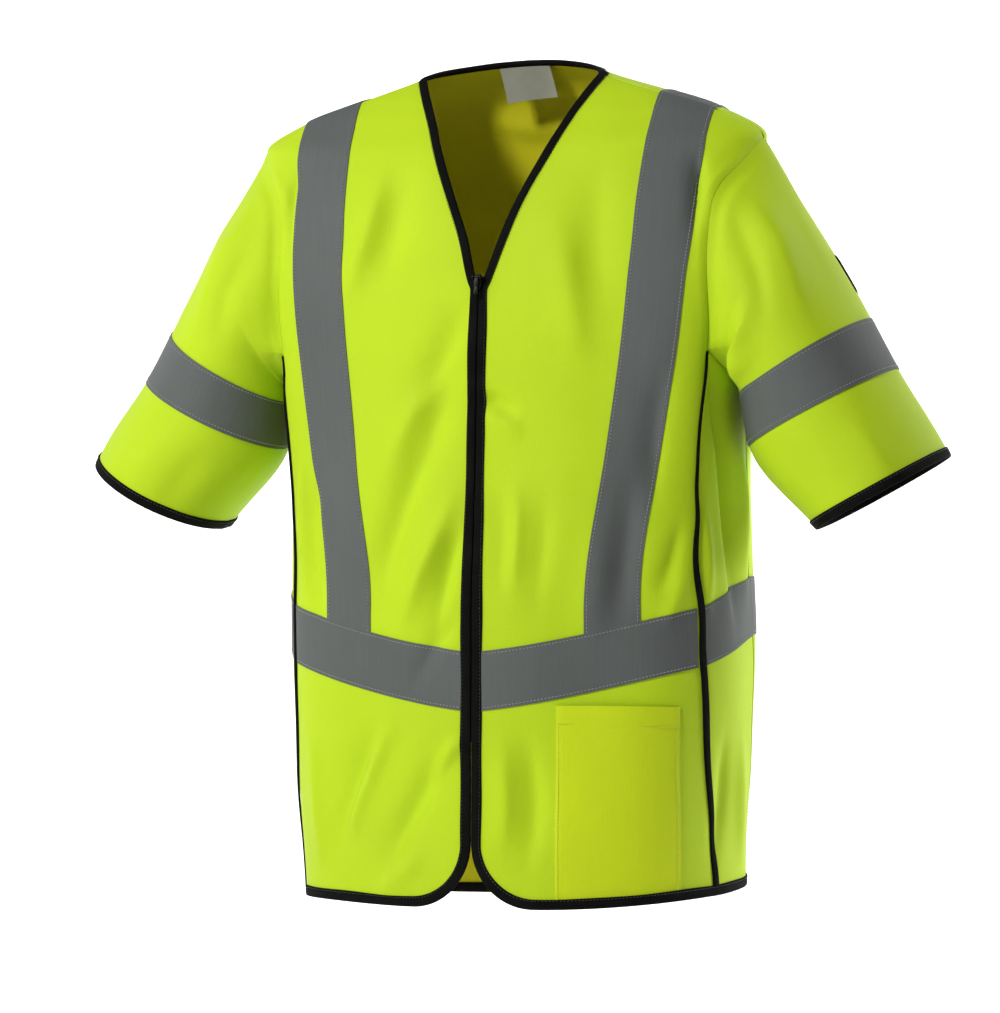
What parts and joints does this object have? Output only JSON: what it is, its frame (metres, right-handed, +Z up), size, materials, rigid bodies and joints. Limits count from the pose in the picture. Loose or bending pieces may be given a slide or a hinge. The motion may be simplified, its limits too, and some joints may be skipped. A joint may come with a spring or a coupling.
{
  "type": "short-sleeved safety vest, filled out as worn",
  "caption": "Hollow high-visibility safety vest with short sleeves, front zip, reflective tape braces and hoops, black binding and a patch pocket, held open as if worn.",
  "frame": {"origin": "midway between the two neck points at the top of the shoulder seams, where the vest hangs on its wearer", "axes": "+Z up, the front faces -Y, the wearer's left side is +X"},
  "size_m": [0.7676, 0.2687, 0.74],
  "materials": {
    "hi_vis_cloth": "fine knitted polyester, fluorescent yellow-green, soft sheen",
    "pocket_cloth": "the same cloth in two layers, a little more golden",
    "reflective_tape": "grey retroreflective tape, satin, stitched along both edges",
    "black_binding": "black folded ribbed binding tape, matt",
    "black_piping": "black woven strip, matt",
    "black_patch": "plain black woven patch, matt",
    "zip_tape": "black zip tape with moulded coil",
    "zip_metal": "black lacquered slider and pull tab",
    "label_cloth": "plain off-white woven label, blank"
  },
  "bodies": {
    "garment": {"front_left": "hi_vis_cloth", "front_right": "hi_vis_cloth", "side_left": "hi_vis_cloth", "side_right": "hi_vis_cloth", "back": "hi_vis_cloth", "sleeve_left": "hi_vis_cloth", "sleeve_right": "hi_vis_cloth", "pocket": "pocket_cloth", "brace_front_left": "reflective_tape", "brace_front_right": "reflective_tape", "brace_back_left": "reflective_tape", "brace_back_right": "reflective_tape", "waist_front_left": "reflective_tape", "waist_front_right": "reflective_tape", "waist_side_left": "reflective_tape", "waist_side_right": "reflective_tape", "waist_back": "reflective_tape", "sleeve_tape_left": "reflective_tape", "sleeve_tape_right": "reflective_tape", "binding_front_left": "black_binding", "binding_front_right": "black_binding", "binding_side_left": "black_binding", "binding_side_right": "black_binding", "binding_back": "black_binding", "binding_cuff_left": "black_binding", "binding_cuff_right": "black_binding", "binding_neck": "black_binding", "piping_left": "black_piping", "piping_right": "black_piping", "sleeve_patch": "black_patch", "zip_left": "zip_tape", "zip_right": "zip_tape", "zip_slider": "zip_metal", "neck_label": "label_cloth"},
    "pull_tab": {"zip_pull": "zip_metal"}
  },
  "joints": [
    {"name": "pull_tab_hinge", "type": "hinge", "parent": "garment", "child": "pull_tab", "pos_m": [0, -0.11141, -0.17906], "axis": [-1, 0, 0], "range_deg": [0, 150]}
  ]
}
